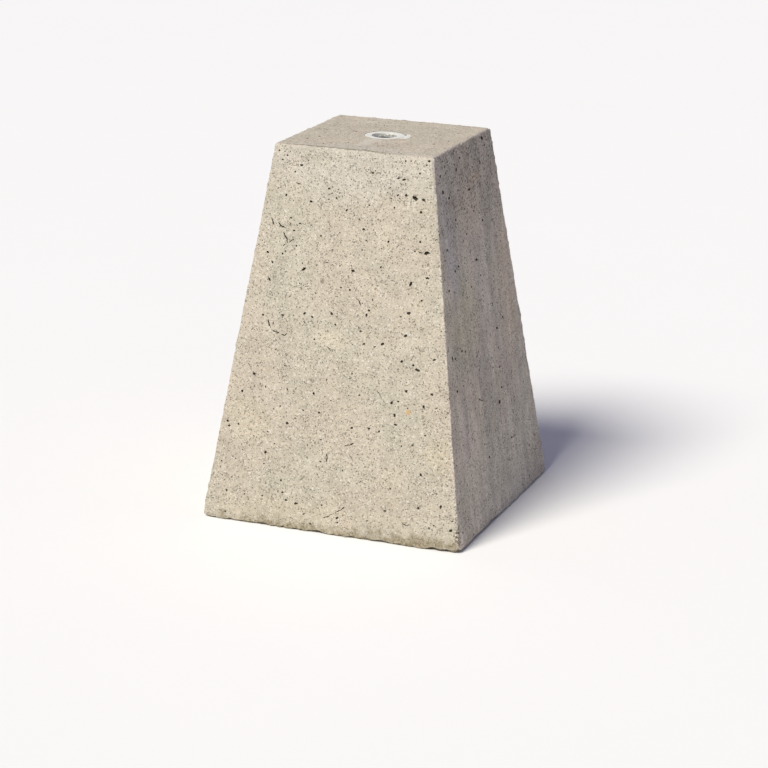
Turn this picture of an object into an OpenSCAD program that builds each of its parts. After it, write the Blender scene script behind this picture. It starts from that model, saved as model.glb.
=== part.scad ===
// Concrete column base block: a square truncated pyramid with a threaded
// steel sleeve and its plastic collar cast into the top face.
// +Z is up. The origin is the centre of the underside.

/* [Block] */
// Width of the square underside
base_w = 300; // [240:1:400]
// Width of the square top face
top_w = 180; // [120:1:220]
// Height of the block
block_h = 410; // [250:1:600]
// Radius that softens every arris
arris_r = 2.5; // [1:0.5:6]

/* [Worn corners and chips] */
// Width of the largest break, on the near right corner of the foot
corner_break = 9; // [2:0.5:14]
// Width of the nick halfway along the top edge on the right
edge_nick = 6; // [1:0.5:8]

/* [Threaded sleeve] */
// Diameter of the bore, the minor diameter of an M24 thread
thread_bore_d = 20.75; // [16:0.05:26]
// Thickness of the wall of the sleeve
sleeve_wall = 5.5; // [4:0.25:8]
// Length of the sleeve
sleeve_l = 80; // [40:1:120]
// Width of the chamfer at the mouth of the bore
mouth_chamfer = 2; // [0.5:0.1:2.5]
// Gap between the cast concrete and what is cast into it
cast_gap = 0; // [0:0.05:0.5]

/* [Collar] */
// Width of the end of the sleeve that shows inside the collar
rim_show = 1.6; // [0.5:0.1:3]
// Width of the flat ring
collar_w = 8; // [5:0.5:14]
// Thickness of the collar, whose face is flush with the concrete
collar_t = 1.5; // [1:0.5:4]
// How far the torn tab reaches past the ring
tab_reach = 7; // [2:0.5:12]
// Length of the torn tab along the ring
tab_l = 26; // [10:1:36]
// Thickness of the torn tab
tab_t = 0.8; // [0.5:0.1:1]

/* [Hidden] */
// Angle by which each side leans in from the vertical
lean = atan((base_w - top_w) / 2 / block_h);
// Facets round each softened corner, and round the turned pieces
corner_fn = 32;
turned_fn = 96;
// Widths of the mouth and of the outside of the sleeve
mouth_d = thread_bore_d + 2 * mouth_chamfer;
sleeve_d = thread_bore_d + 2 * sleeve_wall;
// Diameters of the hole and of the outside of the collar
collar_hole_d = mouth_d + 2 * rim_show;
collar_d = collar_hole_d + 2 * collar_w;
// Height of the joint between the collar and the sleeve
collar_z = block_h - collar_t;
// How far a cutting tool reaches past the face that it cuts
over = 1;
// Shares of corner_break, in turn for the feet at left front, right front,
// right back and left back, and then for the four top corners
foot_breaks = [0.35, 1, 0.75, 0.5];
top_breaks = [0.3, 0.3, 0.55, 0.4];
// Directions of the four corners, in that same order
corners = [[-1, -1], [1, -1], [1, 1], [-1, 1]];

// Half the width of the block at a height z
function half_w(z) = base_w / 2 - z * tan(lean);

// Ball that softens a corner: its facets just touch the planes that it rounds
module corner_ball() {
    sphere(r = arris_r / cos(180 / corner_fn), $fn = corner_fn);
}

// Square truncated pyramid with every arris rounded to arris_r
module soft_pyramid() {
    foot = base_w / 2 - arris_r * (1 + sin(lean)) / cos(lean);
    head = top_w / 2 - arris_r * (1 - sin(lean)) / cos(lean);
    hull()
        for (c = corners) {
            translate([c.x * foot, c.y * foot, arris_r]) corner_ball();
            translate([c.x * head, c.y * head, block_h - arris_r]) corner_ball();
        }
}

// Flat cut across a corner: z is the height of the corner, up is 1 for a top
// corner and -1 for a foot, and size is how far along each edge it bites
module corner_cut(c, z, up, size) {
    bite = size / sqrt(3);
    translate([c.x * half_w(z), c.y * half_w(z), z])
        rotate([0, 0, atan2(c.y, c.x)])
            rotate([0, up * atan(1 / sqrt(2)), 0])
                translate([-bite, -size * 2, -size * 2])
                    cube([size * 3, size * 4, size * 4]);
}

// The corners that handling has knocked off
module worn_corners() {
    for (i = [0:3]) {
        corner_cut(corners[i], 0, 1, foot_breaks[i] * corner_break);
        corner_cut(corners[i], block_h, -1, top_breaks[i] * corner_break);
    }
}

// Nick in the top edge on the right
module top_nick() {
    translate([top_w / 2, 0, block_h])
        rotate([0, 45, 12])
            cube([edge_nick, edge_nick * 1.6, edge_nick / sqrt(2)], center = true);
}

// Flat outline of the torn tab, on the right of the ring: joined to it over
// the near half, and torn away from it over the far half
module tab_outline() {
    ring_r = collar_d / 2;
    reach = ring_r + tab_reach;
    polygon([
        [ring_r - 3, 0.05 * tab_l],
        [ring_r + 0.1 * tab_reach, 0.3 * tab_l],
        [ring_r - 0.35 * tab_reach, 0.62 * tab_l],
        [ring_r + 0.3 * tab_reach, 0.56 * tab_l],
        [reach - 0.35 * tab_reach, 0.42 * tab_l],
        [reach - 0.05 * tab_reach, 0.16 * tab_l],
        [reach, -0.08 * tab_l],
        [reach - 0.2 * tab_reach, -0.26 * tab_l],
        [ring_r - 0.1 * tab_reach, -0.38 * tab_l],
        [ring_r - 3, -0.3 * tab_l]
    ]);
}

// The tab as a thin plate under the top face, grown by a gap
module tab_plate(gap, extra) {
    translate([0, 0, block_h - tab_t - gap])
        linear_extrude(height = tab_t + gap + extra)
            if (gap > 0)
                offset(delta = gap) tab_outline();
            else
                tab_outline();
}

// Space that the collar and the sleeve take up in the concrete
module insert_seat() {
    tab_plate(cast_gap, over);
    translate([0, 0, collar_z - cast_gap])
        cylinder(d = collar_d + 2 * cast_gap, h = collar_t + cast_gap + over, $fn = turned_fn);
    translate([0, 0, collar_z - sleeve_l - cast_gap])
        cylinder(d = sleeve_d + 2 * cast_gap, h = sleeve_l + cast_gap + over, $fn = turned_fn);
}

module concrete_block() {
    color([0.76, 0.72, 0.64])
        difference() {
            soft_pyramid();
            worn_corners();
            top_nick();
            insert_seat();
        }
}

// White plastic ring that sits on the sleeve, flush with the top face, with
// the tab that tore when the block left its mould
module insert_collar() {
    color([0.9, 0.9, 0.87])
        difference() {
            union() {
                translate([0, 0, collar_z])
                    cylinder(d = collar_d, h = collar_t, $fn = turned_fn);
                tab_plate(0, 0);
            }
            translate([0, 0, collar_z - over])
                cylinder(d = collar_hole_d, h = collar_t + 2 * over, $fn = turned_fn);
        }
}

// Steel sleeve, its thread drawn as a plain bore at the minor diameter
module threaded_sleeve() {
    color([0.62, 0.64, 0.68])
        translate([0, 0, collar_z - sleeve_l])
            difference() {
                cylinder(d = sleeve_d, h = sleeve_l, $fn = turned_fn);
                translate([0, 0, -over])
                    cylinder(d = thread_bore_d, h = sleeve_l + 2 * over, $fn = turned_fn);
                translate([0, 0, sleeve_l - mouth_chamfer])
                    cylinder(d1 = thread_bore_d, d2 = mouth_d, h = mouth_chamfer, $fn = turned_fn);
            }
}

concrete_block();
insert_collar();
threaded_sleeve();
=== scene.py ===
import math

import bmesh
import bpy
import numpy as np
from mathutils import Matrix, Vector
from mathutils.geometry import delaunay_2d_cdt


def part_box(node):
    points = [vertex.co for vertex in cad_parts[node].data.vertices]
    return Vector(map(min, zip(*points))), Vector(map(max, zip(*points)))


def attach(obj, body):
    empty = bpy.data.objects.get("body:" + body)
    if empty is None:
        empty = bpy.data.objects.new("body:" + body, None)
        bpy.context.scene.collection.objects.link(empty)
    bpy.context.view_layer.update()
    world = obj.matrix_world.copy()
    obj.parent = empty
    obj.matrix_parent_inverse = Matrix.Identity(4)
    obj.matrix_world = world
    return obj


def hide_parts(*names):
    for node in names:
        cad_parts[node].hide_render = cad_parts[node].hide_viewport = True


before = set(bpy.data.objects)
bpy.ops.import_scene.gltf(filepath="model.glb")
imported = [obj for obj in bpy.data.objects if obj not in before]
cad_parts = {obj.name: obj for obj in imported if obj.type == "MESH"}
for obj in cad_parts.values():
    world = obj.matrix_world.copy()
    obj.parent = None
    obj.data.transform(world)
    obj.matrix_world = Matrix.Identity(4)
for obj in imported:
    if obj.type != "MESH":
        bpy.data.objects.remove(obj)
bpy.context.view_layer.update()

# ---------------------------------------- sizes, in millimetres
FOOT, HEAD = 300.0, 180.0
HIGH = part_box("concrete_block")[1][2] * 1000
LEAN = (FOOT - HEAD) / 2
SLANT = math.hypot(HIGH, LEAN)
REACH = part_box("concrete_block")[1][0] * 1000 - 0.01     # nothing stands out past this
SLEEVE_LOW, SLEEVE_TOP = (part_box("threaded_sleeve")[i][2] * 1000 for i in (0, 1))
SLEEVE_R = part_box("threaded_sleeve")[1][0] * 1000
COLLAR_R = -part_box("insert_collar")[0][0] * 1000
COLLAR_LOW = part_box("insert_collar")[0][2] * 1000
TAB_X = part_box("insert_collar")[1][0] * 1000
RNG = np.random.default_rng(41)


# ---------------------------------------- camera
CAM_TURN, CAM_RISE, CAM_ROLL = (math.radians(a) for a in (20.99, 16.82, 0.93))
CAM_FAR, CAM_RIGHT, CAM_UP = 2.862, 0.0035, 0.123       # in metres, from the middle of the foot
CAM_LENS, CAM_SENSOR = 118.83, 36.0


def add_camera():
    level = math.cos(CAM_RISE)
    back = Vector((math.sin(CAM_TURN) * level, -math.cos(CAM_TURN) * level, math.sin(CAM_RISE)))
    right = (-back).cross(Vector((0, 0, 1))).normalized()
    up = right.cross(-back)
    x = right * math.cos(CAM_ROLL) + up * math.sin(CAM_ROLL)
    y = up * math.cos(CAM_ROLL) - right * math.sin(CAM_ROLL)
    cam = bpy.data.cameras.new("camera")
    cam.lens, cam.sensor_width = CAM_LENS, CAM_SENSOR
    cam.clip_start, cam.clip_end = 0.05, 60.0
    ob = bpy.data.objects.new("camera", cam)
    m = Matrix((x, y, back)).transposed().to_4x4()
    m.translation = back * CAM_FAR + right * CAM_RIGHT + up * CAM_UP
    ob.matrix_world = m
    bpy.context.collection.objects.link(ob)
    bpy.context.scene.camera = ob


# ---------------------------------------- noise for the shapes
def lumps(p, size, seed):
    """Smooth noise from -1 to 1 at the points p, with lumps about size across."""
    q = np.asarray(p, float) / size
    i = np.floor(q).astype(np.int64)
    f = q - i
    f = f * f * (3 - 2 * f)
    out = np.zeros(len(q))
    for dx in (0, 1):
        for dy in (0, 1):
            for dz in (0, 1):
                h = (i[:, 0] + dx) * 73856093 ^ (i[:, 1] + dy) * 19349663 ^ (i[:, 2] + dz) * 83492791
                h = (h ^ (seed * 40503)) & 0x7FFFFFFF
                h = (h ^ (h >> 15)) * 739982445 & 0x7FFFFFFF
                h = (h ^ (h >> 12)) * 695872825 & 0x7FFFFFFF
                v = (h >> 8) % 4096 / 2047.5 - 1
                w = (f[:, 0] if dx else 1 - f[:, 0]) * (f[:, 1] if dy else 1 - f[:, 1])
                out += v * w * (f[:, 2] if dz else 1 - f[:, 2])
    return out


# ---------------------------------------- the block's six flat sides
CORNERS = np.array([(sx * w / 2, sy * w / 2, z) for w, z in ((FOOT, 0.0), (HEAD, HIGH))
                    for sx, sy in ((-1, -1), (1, -1), (1, 1), (-1, 1))])
# Each side: a point on it, its directions across and up, its normal, its corners
UPRIGHT = ("front", "right", "back", "left")
SIDES = {}
for k, name in enumerate(UPRIGHT):
    d = np.array(((0, -1, 0), (1, 0, 0), (0, 1, 0), (-1, 0, 0))[k], float)
    u = np.array(((1, 0, 0), (0, 1, 0), (-1, 0, 0), (0, -1, 0))[k], float)
    v = (np.array((0, 0, HIGH)) - d * LEAN) / SLANT
    after = (k + 1) % 4
    SIDES[name] = dict(o=d * FOOT / 2, u=u, v=v, n=np.cross(u, v), loop=(k, after, after + 4, k + 4))
SIDES["top"] = dict(o=np.array((0, 0, HIGH)), u=np.array((1.0, 0, 0)), v=np.array((0, 1.0, 0)),
                    n=np.array((0, 0, 1.0)), loop=(4, 5, 6, 7))
SIDES["under"] = dict(o=np.zeros(3), u=np.array((1.0, 0, 0)), v=np.array((0, -1.0, 0)),
                      n=np.array((0, 0, -1.0)), loop=(0, 3, 2, 1))
ORDER = (*UPRIGHT, "top", "under")
NORMALS = np.array([SIDES[s]["n"] for s in ORDER])
OFFSETS = np.array([SIDES[s]["n"] @ SIDES[s]["o"] for s in ORDER])

# Grid step of each side, how many loose voids it has, and the step of points along the edges
STEP = dict(front=3.7, right=3.7, back=4.7, left=4.7, top=3.7, under=11.0)
LOOSE = dict(front=1750, right=1500, back=600, left=600, top=60, under=0)
SEEN_EDGES = {(0, 1), (1, 2), (4, 5), (5, 6), (6, 7), (4, 7), (0, 4), (1, 5), (2, 6)}
SEEN_STEP, HIDDEN_STEP = 1.35, 3.2

# Voids that stand out, listed: place across the side and down from its top
# edge, length, width, turn in degrees, depth
VOIDS = dict(
    front=[(-75, 12, 1.6, 1.2, 0, 1), (-58, 21, 2.4, 1.8, 20, 1.5), (23, 22, 2, 1.4, 60, 1),
           (58, 26, 3.6, 1.4, 10, 1.2), (52, 25, 2, 1.4, 0, 1), (72, 44, 5, 3.2, -15, 3),
           (62, 42, 2.2, 1.6, 0, 1.4), (82, 45, 3.4, 2.2, -35, 1), (80, 58, 2.2, 1.8, 0, 1.4),
           (-60, 41, 3, 1, 0, 0.8), (-25, 43, 2.2, 1.6, 30, 1.2), (-62, 91, 2, 1.6, 0, 1.4),
           (-56, 83, 1.8, 1.2, 30, 1), (17, 82, 2.4, 1.8, 0, 1.6), (89, 100, 4, 3.2, 20, 2.6),
           (76, 99.5, 1.6, 1, 0, 0.8), (-91, 117, 2.4, 1.8, 0, 1.6), (-85, 127, 2.6, 1.6, -60, 1.4),
           (-48, 131, 4, 2, 40, 2.2), (8, 127, 3.2, 2, -10, 1.6), (74, 134, 2.2, 4.2, -12, 2),
           (92, 126, 3.4, 1.6, 5, 1.4), (39, 120, 2, 1.2, 60, 1), (29, 167, 2.4, 1.6, 0, 1.4),
           (26.6, 172.4, 1.8, 2.6, 0, 1.2), (74, 165, 3.2, 2, 0, 1.6), (-13, 175, 2, 3, 20, 1.2),
           (-69, 183, 2.8, 1.6, -20, 1.4), (72, 189, 3.6, 2, 30, 1.6), (47, 201, 3.6, 2, 35, 1.8),
           (26, 203, 2.4, 1.2, 20, 1), (88, 224, 4, 2, -20, 1.8), (83, 219.6, 2, 1.6, 0, 1.4),
           (70, 217, 2.6, 2, 0, 1.4), (106, 211, 3, 1.4, 15, 1.2), (-98, 250, 2.6, 2, 0, 1.4),
           (-56, 299, 2.4, 2, 0, 1.8), (-126, 305, 2.6, 1.8, 0, 1.6), (-113, 307, 2, 1.6, 0, 1.2),
           (-79, 334, 3, 2, 30, 1.8), (-80, 382, 2, 1.4, 0, 1), (-52, 383, 2.4, 1.4, 0, 1.2),
           (-40, 385, 3, 1.6, 20, 1.4), (100, 371, 2.6, 1.8, 0, 1.4), (-92, 185, 2.2, 1.4, 0, 1.2),
           (-87, 146, 3, 1.6, -50, 1.6), (21, 190, 2, 1.3, 0, 1.2), (-44, 178, 3, 1.5, 50, 1.6),
           (-35, 181, 2.4, 1.6, -60, 1.3), (62, 262, 2.6, 1.8, 60, 1.4), (66, 275, 2, 3, 10, 1.5),
           (98, 262, 2, 3.4, 25, 1.6), (106, 248, 3, 1.7, -30, 1.4), (68, 285, 2.6, 1.6, 0, 1.2),
           (-124, 310, 2.2, 1.6, 0, 1.2), (138, 390, 3.2, 1.8, 15, 1.6), (125, 366, 2, 3, -10, 1.4),
           (-20, 283, 2.4, 1.4, 0, 1.2), (38, 293, 2.2, 1.5, 0, 1.2)],
    right=[(59, 6.5, 4.6, 4, 0, 2.6), (65, 15, 2.4, 2, 0, 1.6), (-30, 24, 3.6, 3, 30, 2),
           (-16, 14, 4, 1.4, 10, 1.2), (-62, 15, 2.6, 1.8, 0, 1.4), (-54, 11, 2.4, 2, 0, 1.2),
           (-76, 40, 4, 3, -20, 2), (-60, 49, 4, 2, 0, 1.6), (2, 52, 5, 2, -10, 1.8),
           (1, 129, 5, 2.4, -10, 2), (-55, 124, 4, 1.6, -20, 1.4), (-67, 126, 3, 2.4, 0, 1.6),
           (8, 148, 3.6, 1.4, -15, 1.2), (-91, 142, 3, 2.4, 0, 1.6), (22, 295, 5.4, 3, -5, 2),
           (-101, 249, 3.6, 2.4, 0, 1.8), (40, 215, 4.4, 1.6, -10, 1.6), (62, 208, 3.2, 1.4, -10, 1.2),
           (-29, 343, 3.2, 2.6, 0, 1.6), (15, 200, 2.6, 1.4, 0, 1.2), (35, 258, 3.4, 2, -10, 1.4),
           (33, 281, 3.6, 1.8, -20, 1.6), (-95, 215, 2.6, 1.8, 0, 1.4), (-74, 212, 3, 1.8, 0, 1.4),
           (-64, 215, 3.6, 1.6, -10, 1.4), (-104, 212, 2.6, 3, 0, 1.5), (-83, 100, 3, 2, 0, 1.5),
           (-48, 75, 3.4, 2, 10, 1.5), (33, 92, 3.6, 1.8, -10, 1.4), (-20, 96, 3, 1.6, 20, 1.2),
           (44.4, 30, 2.4, 3.6, 0, 1.4), (-78, 22, 3, 2, 40, 1.5)],
    top=[(-15, 65, 1.8, 2.2, 20, 1.2), (65, 113, 1.8, 3, 15, 1.6), (-21, 143, 1.6, 2.4, 20, 1.2),
         (-43, 159, 1.6, 2.6, 20, 1.2), (-61, 126, 1.6, 2.4, 20, 1), (46, 55, 1.8, 2.4, 20, 1),
         (74, 91, 1.6, 2.6, 20, 1.2), (-69, 142, 1.8, 2, 0, 0.8), (10, 169, 1.6, 2.4, 0, 1),
         (56, 95, 1.4, 2.2, 0, 0.8), (53, 118, 1.2, 2.4, 0, 0.8), (-36, 83, 1.8, 2.6, 0, 0.8)],
    back=[(30, 90, 4.6, 3, 20, 2.2), (-60, 230, 3.4, 5, 0, 2), (70, 300, 4, 2, -30, 1.8),
          (-20, 350, 5, 2.4, 10, 2)],
    left=[(-40, 70, 4, 3, 0, 2), (35, 180, 5, 2.6, 25, 2.2), (-80, 290, 3, 4.6, 0, 1.8),
          (60, 340, 4.4, 2, -15, 2)],
    under=[])

# Cracks and strings of voids that run together: width, then points across
# the side and down from its top edge
CRACKS = dict(
    front=[(1.9, (-89, 80), (-87, 83.5), (-85.5, 87)),
           (1.8, (-80.5, 84), (-78, 87), (-75, 88.5), (-71.5, 89.5)),
           (2.2, (-74.5, 94), (-71.5, 98), (-69.5, 101.5), (-68.6, 105)),
           (1.8, (-66.8, 104.2), (-64, 102), (-61.5, 100.5)), (1.5, (-71.2, 106.5), (-73.5, 109)),
           (1.3, (-67.5, 82.5), (-66.8, 87)), (1.5, (-85.5, 189), (-84.5, 194), (-82.5, 198)),
           (1.7, (-80.6, 200.4), (-76.5, 202), (-71.8, 202.4)),
           (2.2, (-69.4, 203.6), (-65, 204.6), (-62.6, 201.6)),
           (1.6, (22, 310.6), (18.5, 313), (15.4, 314), (12, 315)), (1.3, (-101, 311), (-96.5, 311.8)),
           (1.5, (16, 382), (12.6, 384.8), (9.4, 386.6), (6, 388.8)),
           (1.4, (3.6, 390.6), (0.4, 392), (-3, 394.6), (-7, 396)), (1.2, (79.5, 99.5), (83.6, 100.4)),
           (1.3, (14, 156), (17.5, 158.5), (19, 163)), (1.3, (-9, 326), (-7, 331), (-8.4, 335)),
           (1.2, (44, 252), (48, 255), (50.4, 259)), (1.3, (83, 390.4), (87.6, 391.4), (92, 390))],
    right=[(1.8, (37, 25), (38.4, 30), (37.6, 35), (39.4, 39)),
           (2.7, (-17.6, 206), (-19, 211), (-20, 216), (-21.4, 219.4)),
           (2.7, (-23.6, 223.6), (-26.6, 226.6), (-30.5, 229), (-34, 229.6)),
           (1.7, (-25.6, 234), (-26.4, 238), (-29, 244), (-29, 250)),
           (1.5, (-30.6, 254), (-33, 259), (-34, 264)),
           (2.6, (-41, 273.5), (-37, 275.6), (-33, 277.6), (-28.5, 279.4)),
           (1.9, (43, 344), (48, 343.2), (53, 344), (58, 344.4), (62, 343.4))],
    top=[],
    back=[(1.6, (-70, 120), (-66, 124), (-64, 129))],
    left=[(1.8, (40, 250), (44, 254), (50, 256))],
    under=[])

# Worn spots on the arrises: x, y, z, spread, extra radius
WORN = [(150, -150, 0, 9, 6.0), (150, 150, 0, 8, 3.4), (-150, -150, 0, 6, 2.0), (-150, 150, 0, 8, 3.0),
        (90, -90, HIGH, 4, 1.2), (90, 90, HIGH, 5, 3.6), (-90, 90, HIGH, 4, 2.6),
        (-90, -90, HIGH, 4, 1.4), (90, -6, HIGH, 3.5, 2.6), (129.5, 129.5, 142, 4, 4.0),
        (-40, 90, HIGH, 5, 1.4), (-90, 20, HIGH, 6, 1.6), (146, -146, 26, 4, 2.8),
        (143.5, -143.5, 44, 3, 1.8), (40, -150, 0, 8, 1.8), (-80, -150, 0, 10, 1.6),
        (150, -40, 0, 9, 2.0), (150, 60, 0, 7, 1.6), (110, -110, 270, 4, 1.2), (-127, -127, 160, 4, 1.4),
        (-105, 105, 300, 6, 3.0), (-150, 30, 0, 10, 2.6), (20, 150, 0, 10, 2.4)]


def wear(p):
    """Radius to which the arrises are worn near the points p."""
    up = p[:, 2] / HIGH
    r = 0.9 - 0.35 * np.clip((up - 0.98) * 50, 0, 1)
    r = r + 0.6 * lumps(p, 9, 1) + 0.6 * lumps(p, 3.2, 2) + 1.5 * np.clip(lumps(p, 5.5, 13) - 0.45, 0, 1)
    foot = np.clip(1 - p[:, 2] / 9, 0, 1)
    r = r + foot * (0.5 + 1.3 * np.abs(lumps(p, 16, 3)) + 1.0 * lumps(p, 4, 4))
    for x, y, z, spread, extra in WORN:
        r = r + extra * np.exp(-((p - (x, y, z)) ** 2).sum(1) / spread ** 2)
    return np.clip(r, 0.45, 9.5)


def rounded(p, r):
    """Wears the sharp arrises near the points p, which lie on the block's
    flat sides, to the radius r. Returns the new points and their normals."""
    inside = OFFSETS - p @ NORMALS.T
    near = np.argsort(inside, axis=1)[:, :3]
    core, done = p.copy(), np.zeros(len(p), bool)
    for pick in ((0,), (0, 1), (0, 2), (0, 1, 2)):
        planes = near[:, pick]
        m = NORMALS[planes]
        push = r[:, None] - np.take_along_axis(inside, planes, 1)
        lam = np.linalg.solve(m @ m.transpose(0, 2, 1), push[..., None])[..., 0]
        q = p - (lam[..., None] * m).sum(1)
        held = (q @ NORMALS.T <= OFFSETS - r[:, None] + 1e-6).all(1) & (lam >= -1e-9).all(1)
        take = held & ~done
        core[take] = q[take]
        done |= take
    out = p - core
    out /= np.maximum(np.linalg.norm(out, axis=1), 1e-9)[:, None]
    return core + out * r[:, None], out


class Skin:
    """Points on the sharp block, with how deep each one is and how dark it is painted: dirt and painted
    shade in the hollows.
    """

    def __init__(self):
        self.p, self.deep, self.dirt, self.count = [], [], [], 0
        self.hole = None        # the points round the hole for the insert

    def add(self, pts, deep=0.0, dirt=0.0):
        n = len(pts)
        self.p.append(np.asarray(pts, float))
        self.deep.append(np.broadcast_to(np.asarray(deep, float), n))
        self.dirt.append(np.broadcast_to(np.asarray(dirt, float), n))
        self.count += n
        return np.arange(self.count - n, self.count)


BROADEN = 0.64      # half size of a listed void, for its length: its outline is ragged
BULGE = 1.26        # a ragged outline reaches this far, for a half size of 1
SMALL = 0.95        # half size up to which a void has one ring of points
# The rings: how far out, share of the size, share of the depth, dirt and painted shade
SMALL_RINGS = ((0.0, 1.0, 0.0, 0.3),)
LARGE_RINGS = ((0.3, 1.0, 0.0, 0.1), (0.0, 1.0, 0.14, 0.9), (0.0, 0.55, 0.85, 1.0))
TOO_NEAR_THE_HOLE = 34.0


def void_shape(x, y, a, b, turn, depth, rng):
    """A void round (x, y) of half sizes a and b: its points, their depths and
    their dirt and painted shade, and the loops and lines of points that stay joined."""
    small = a < SMALL
    n = int(rng.integers(5, 8)) if small else int(np.clip(round(2.0 * (a + b) + 4), 7, 15))
    th = (np.arange(n) + rng.uniform(-0.3, 0.3, n)) / n * 2 * np.pi + turn * 3
    rough = 1 + rng.uniform(-0.52 if small else -0.3, 0.26, n)
    c, s = math.cos(turn), math.sin(turn)
    pts, deep, dirt, loops = [], [], [], []
    for out, share, sunk, soil_and_shade in SMALL_RINGS if small else LARGE_RINGS:
        ex, ey = (a * share * rough + out) * np.cos(th), (b * share * rough + out) * np.sin(th)
        loops.append(np.arange(len(deep), len(deep) + n))
        pts += list(np.c_[x + ex * c - ey * s, y + ex * s + ey * c])
        deep += [depth * sunk] * n
        dirt += [soil_and_shade] * n
    pts.append((x, y))
    return np.array(pts), np.array(deep + [depth]), np.array(dirt + [1.0]), loops, []


def crack_shape(width, line, rng):
    """A crack along a line: a ragged groove with its points as above."""
    spine = []
    for (x0, y0), (x1, y1) in zip(line, line[1:]):
        n = max(1, round(math.hypot(x1 - x0, y1 - y0) / 1.5))
        spine += [(x0 + (x1 - x0) * i / n, y0 + (y1 - y0) * i / n) for i in range(n)]
    spine = np.array(spine + [line[-1]], float)
    n = len(spine)
    run = np.gradient(spine, axis=0)
    run /= np.linalg.norm(run, axis=1)[:, None]
    across = np.c_[-run[:, 1], run[:, 0]]
    spine[1:-1] += across[1:-1] * rng.uniform(-0.4, 0.4, (n - 2, 1))
    half = np.minimum(width / 2 * rng.uniform(0.35, 1.4, n), 1.05)
    half[[0, -1]] *= 0.4
    left = spine + across * (half * rng.uniform(0.7, 1.2, n))[:, None]
    right = spine - across * (half * rng.uniform(0.7, 1.2, n))[:, None]
    rim = np.concatenate([[spine[0] - run[0] * 0.5], right, [spine[-1] + run[-1] * 0.5], left[::-1]])
    m = len(rim)
    deep = np.concatenate([np.zeros(m), 0.35 + 1.3 * half])
    dirt = np.concatenate([np.full(m, 0.34), rng.uniform(0.45, 1.15, n)])
    lines = [(m + i, m + i + 1) for i in range(n - 1)]
    return np.concatenate([rim, spine]), deep, dirt, [np.arange(m)], lines


def place_voids(name, outline, rng):
    """The voids of a side: those listed, then loose ones between them,
    clear of each other. Returns their shapes and the circles they fill."""
    high = SLANT if name != "top" else HEAD / 2
    shapes, taken = [], np.zeros((0, 3))

    def free(x, y, r):
        return (np.hypot(taken[:, 0] - x, taken[:, 1] - y) > r + taken[:, 2]).all()

    for width, *line in CRACKS[name]:
        shapes.append(crack_shape(width, [(x, high - t) for x, t in line], rng))
        pts = shapes[-1][0]
        guard = np.concatenate([pts, (pts + np.roll(pts, -1, 0)) / 2])
        taken = np.concatenate([taken, np.c_[guard, np.full(len(guard), 0.45)]])
    for x, t, a, b, turn, depth in VOIDS[name]:
        y = high - t
        r = max(a, b) * BROADEN * BULGE + 0.5
        if free(x, y, r):
            shapes.append(void_shape(x, y, a * BROADEN, b * BROADEN, math.radians(turn), depth, rng))
            taken = np.concatenate([taken, [(x, y, r)]])
    lo, hi = outline.min(0), outline.max(0)
    done, tries = 0, 0
    while done < LOOSE[name] and tries < 30000:
        tries += 1
        x, y = rng.uniform(lo, hi)
        a = min(0.66 + 0.21 * rng.pareto(3.0), 1.4)
        b, turn = a * rng.uniform(0.3, 0.95), rng.uniform(0, np.pi)
        if name == "right" and high - y < 75:       # longer and upright near the top of this side
            a, b, turn = min(a * 1.6, 2.4), b * 1.2, np.pi / 2 + (turn - np.pi / 2) * 0.3
        r = a * BULGE + (0.15 if a < SMALL else 0.45)
        at = np.array([[x, y]])
        if edge_gap(at, outline)[0] < r + 0.9 or (name == "top" and math.hypot(x, y) < TOO_NEAR_THE_HOLE):
            continue
        crowd = lumps(np.array([[x, y, 500.0]]), 34, 11)[0]
        crowd += 0.6 * lumps(np.array([[x, y, 900.0]]), 11, 12)[0]
        if rng.uniform(-1.1, 0.9) > crowd + 0.2 or not free(x, y, r):
            continue
        shapes.append(void_shape(x, y, a, b, turn, rng.uniform(1.0, 1.8) * b, rng))
        taken = np.concatenate([taken, [(x, y, r)]])
        done += 1
    return shapes, taken


def edge_gap(q, outline):
    """Distance of the points q from the nearest edge of a convex outline."""
    gap = np.full(len(q), np.inf)
    for i in range(len(outline)):
        a, b = outline[i], outline[(i + 1) % len(outline)]
        t = (b - a) / np.linalg.norm(b - a)
        gap = np.minimum(gap, t[0] * (q[:, 1] - a[1]) - t[1] * (q[:, 0] - a[0]))
    return gap


def grid(outline, step, rng):
    """A loose grid of points over the box round an outline."""
    lo, hi = outline.min(0), outline.max(0)
    rows = []
    for i, y in enumerate(np.arange(lo[1], hi[1], step * 0.866)):
        xs = np.arange(lo[0] + (i % 2) * step / 2, hi[0], step)
        rows.append(np.c_[xs, np.full(len(xs), y)])
    q = np.concatenate(rows)
    return q + rng.uniform(-0.26, 0.26, q.shape) * step


SEAT_R = COLLAR_R + 0.06        # the hole that the collar sits in
AROUND = 120                    # points round it
TAB = np.array([(SEAT_R - 3, 1.3), (22.7, 7.8), (19.5, 16.1), (24.1, 14.6), (26.5, 10.9), (28.5, 4.2),
                (TAB_X - 0.1, -2.1), (27.6, -6.8), (21.3, -9.8), (SEAT_R - 3, -7.8)])


def inside_loop(q, loop):
    """Which of the points q are inside a closed loop."""
    hit = np.zeros(len(q), bool)
    for (x1, y1), (x2, y2) in zip(loop, np.roll(loop, -1, 0)):
        cross = (y1 > q[:, 1]) != (y2 > q[:, 1])
        hit ^= cross & (q[:, 0] < (x2 - x1) * (q[:, 1] - y1) / (y2 - y1 + 1e-12) + x1)
    return hit


def loop_gap(q, loop):
    """Distance of the points q from the line of a closed loop."""
    gap = np.full(len(q), np.inf)
    for a, b in zip(loop, np.roll(loop, -1, 0)):
        t = np.clip(((q - a) @ (b - a)) / ((b - a) @ (b - a)), 0, 1)
        gap = np.minimum(gap, np.linalg.norm(q - a - t[:, None] * (b - a), axis=1))
    return gap


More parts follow.
